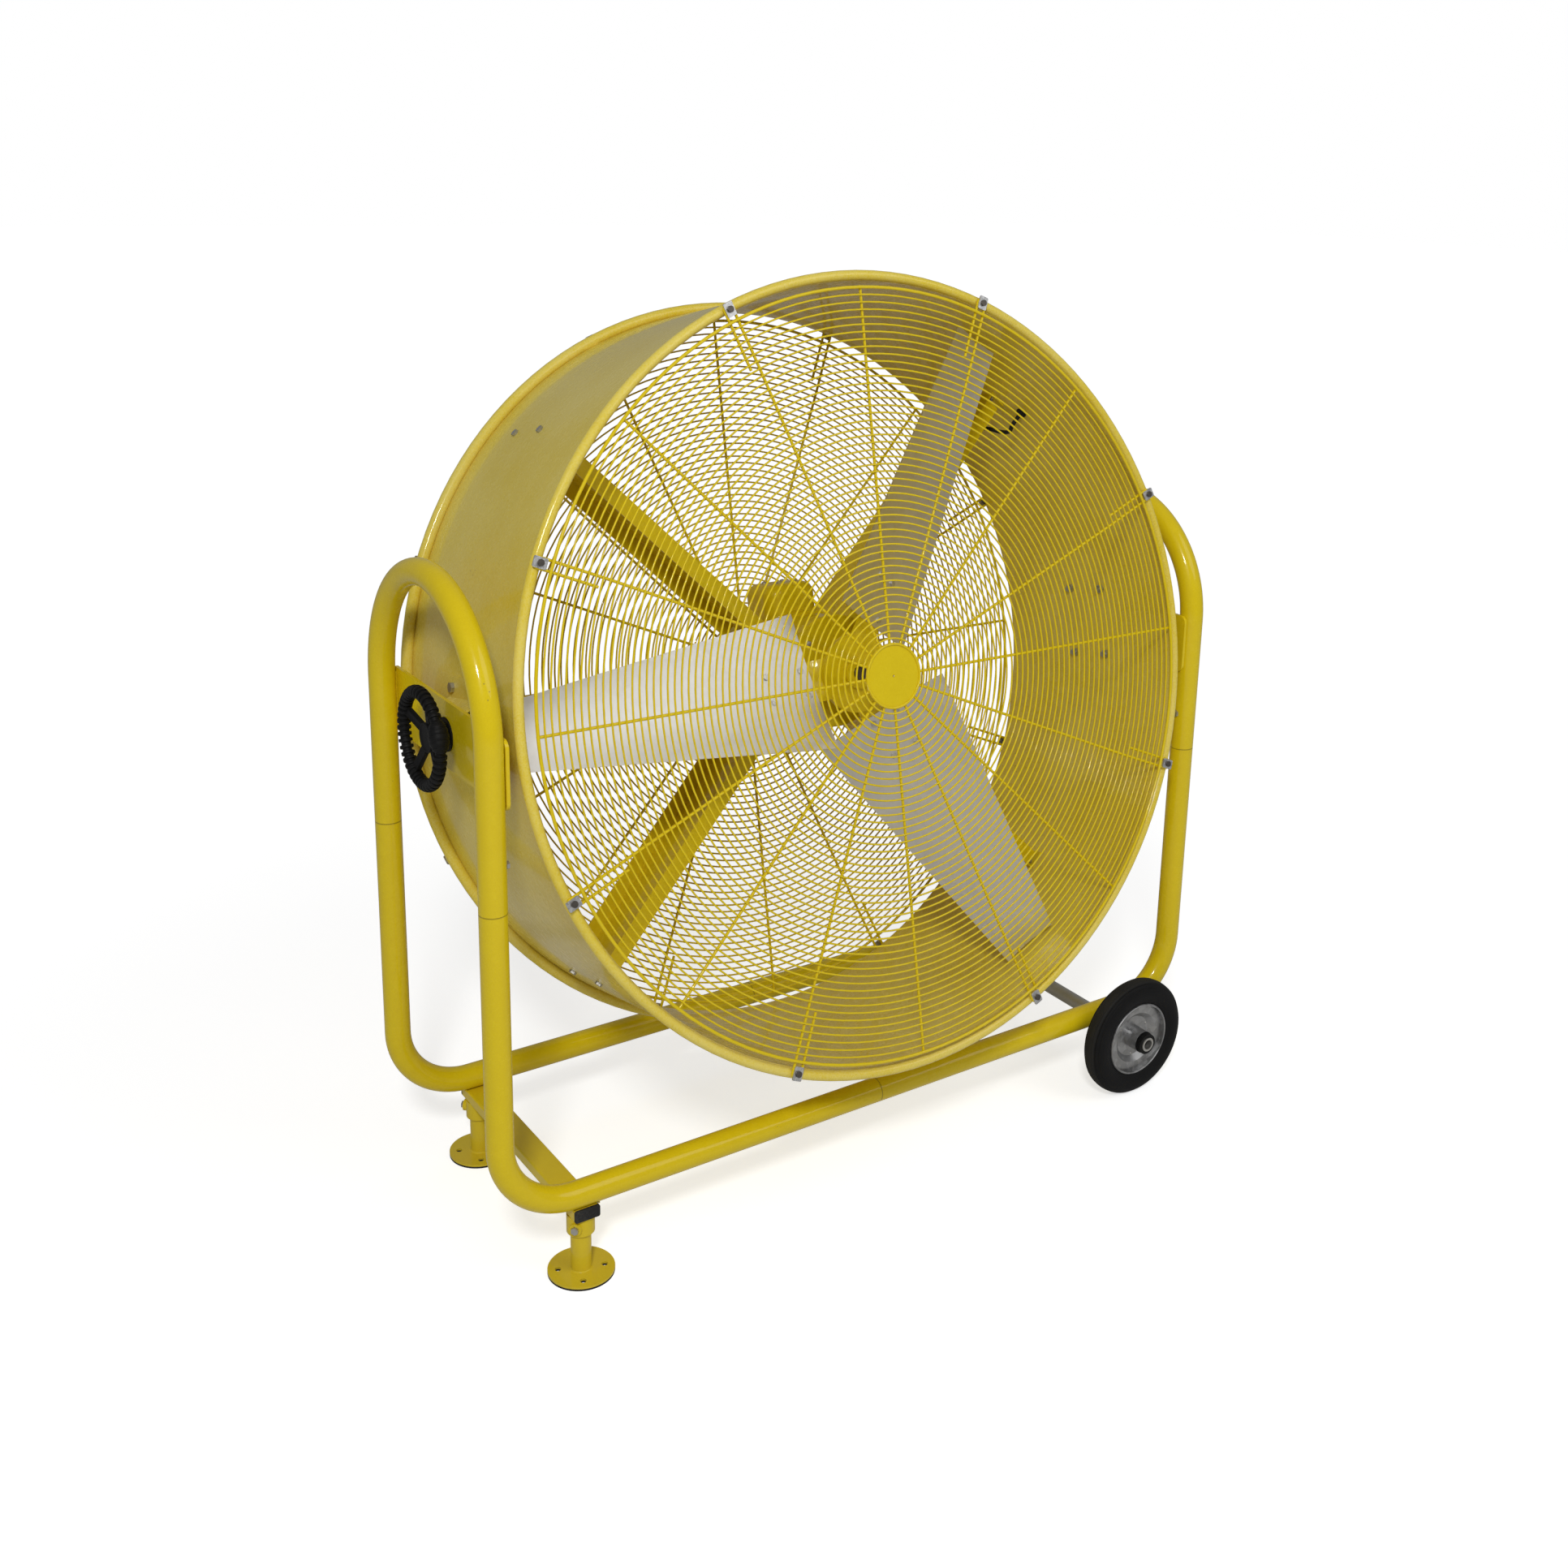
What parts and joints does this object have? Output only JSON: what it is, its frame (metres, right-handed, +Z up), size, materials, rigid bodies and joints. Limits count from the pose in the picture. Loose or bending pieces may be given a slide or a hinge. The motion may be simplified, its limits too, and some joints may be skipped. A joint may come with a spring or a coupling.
{
  "type": "drum fan",
  "caption": "Tilting drum fan with wire grilles and a direct-drive motor, in a bent tube frame with wheels on one side and adjustable feet on the other.",
  "frame": {"origin": "on the floor under the middle of the overall box", "axes": "+Z up; +X from the feet to the wheels, along the drum's pivot line; the fan blows towards -Y, tilted up 11.67 degrees at rest"},
  "size_m": [1.2954, 0.6476, 1.3794],
  "materials": {
    "yellow_paint": "gloss powder coat",
    "zinc_steel": "zinc plated",
    "galvanised_steel": "bright galvanised",
    "plain_steel": "machined, oiled",
    "blade_aluminium": "mill finish",
    "tyre_rubber": "solid rubber",
    "black_rubber": "matt",
    "black_plastic": "moulded"
  },
  "bodies": {
    "frame": {"left_arch": "yellow_paint", "right_arch": "yellow_paint", "front_left_rail": "yellow_paint", "front_right_rail": "yellow_paint", "rear_left_rail": "yellow_paint", "rear_right_rail": "yellow_paint", "tube_sleeves": "plain_steel", "frame_bolts": "zinc_steel", "pivot_plates": "yellow_paint", "friction_washers": "black_plastic", "foot_beam": "yellow_paint", "beam_end_caps": "black_plastic", "foot_sockets": "yellow_paint", "axle_tube": "zinc_steel", "axle_spacers": "black_plastic", "axle_collars": "black_plastic"},
    "front_foot": {"front_foot_stem": "yellow_paint", "front_foot_pad": "black_rubber"},
    "rear_foot": {"rear_foot_stem": "yellow_paint", "rear_foot_pad": "black_rubber"},
    "front_wheel": {"front_tyre": "tyre_rubber", "front_wheel_disc": "galvanised_steel", "front_wheel_bushes": "black_plastic"},
    "rear_wheel": {"rear_tyre": "tyre_rubber", "rear_wheel_disc": "galvanised_steel", "rear_wheel_bushes": "black_plastic"},
    "drum": {"pivot_brackets": "yellow_paint", "bracket_bolts": "zinc_steel", "pivot_studs": "zinc_steel", "pivot_lock_nut": "zinc_steel", "drum_shell": "yellow_paint", "front_grille_rings": "yellow_paint", "rear_grille_rings": "yellow_paint", "front_grille_radials": "yellow_paint", "rear_grille_radials": "yellow_paint", "front_centre_plate": "yellow_paint", "rear_centre_plate": "yellow_paint", "front_clips": "zinc_steel", "rear_clips": "zinc_steel", "clip_screws": "zinc_steel", "motor_struts": "yellow_paint", "strut_bolts": "zinc_steel", "motor_mount_ring": "yellow_paint", "motor_barrel": "yellow_paint", "motor_front_bell": "yellow_paint", "motor_rear_bell": "yellow_paint", "stator_core": "plain_steel", "motor_bearings": "plain_steel", "terminal_box": "yellow_paint", "terminal_box_lid": "yellow_paint", "cable_gland": "black_plastic", "motor_lead": "black_plastic", "wall_grommet": "black_rubber"},
    "rotor": {"motor_shaft": "plain_steel", "rotor_core": "plain_steel", "blade_hub": "yellow_paint", "fan_blades": "blade_aluminium", "blade_rivets": "zinc_steel", "hub_set_screw": "plain_steel"},
    "handwheel": {"handwheel": "black_plastic"}
  },
  "joints": [
    {"name": "drum_tilt", "type": "hinge", "parent": "frame", "child": "drum", "pos_m": [0.00522, -0.00832, 0.766], "axis": [1, 0, 0], "range_deg": [-78.33, 101.67]},
    {"name": "rotor_spin", "type": "hinge", "parent": "drum", "child": "rotor", "pos_m": [0.00522, -0.00832, 0.766], "axis": [0, -0.9793, 0.2023], "continuous": true},
    {"name": "handwheel_turn", "type": "hinge", "parent": "drum", "child": "handwheel", "pos_m": [-0.63477, -0.00832, 0.766], "axis": [-1, 0, 0], "range_deg": [0, 360]},
    {"name": "front_wheel_spin", "type": "hinge", "parent": "frame", "child": "front_wheel", "pos_m": [0.50623, -0.24832, 0.1015], "axis": [0, 1, 0], "continuous": true},
    {"name": "rear_wheel_spin", "type": "hinge", "parent": "frame", "child": "rear_wheel", "pos_m": [0.50623, 0.23168, 0.1015], "axis": [0, 1, 0], "continuous": true},
    {"name": "front_foot_height", "type": "slide", "parent": "frame", "child": "front_foot", "axis": [0, 0, -1], "range_m": [0, 0.025]},
    {"name": "rear_foot_height", "type": "slide", "parent": "frame", "child": "rear_foot", "axis": [0, 0, -1], "range_m": [0, 0.025]}
  ]
}
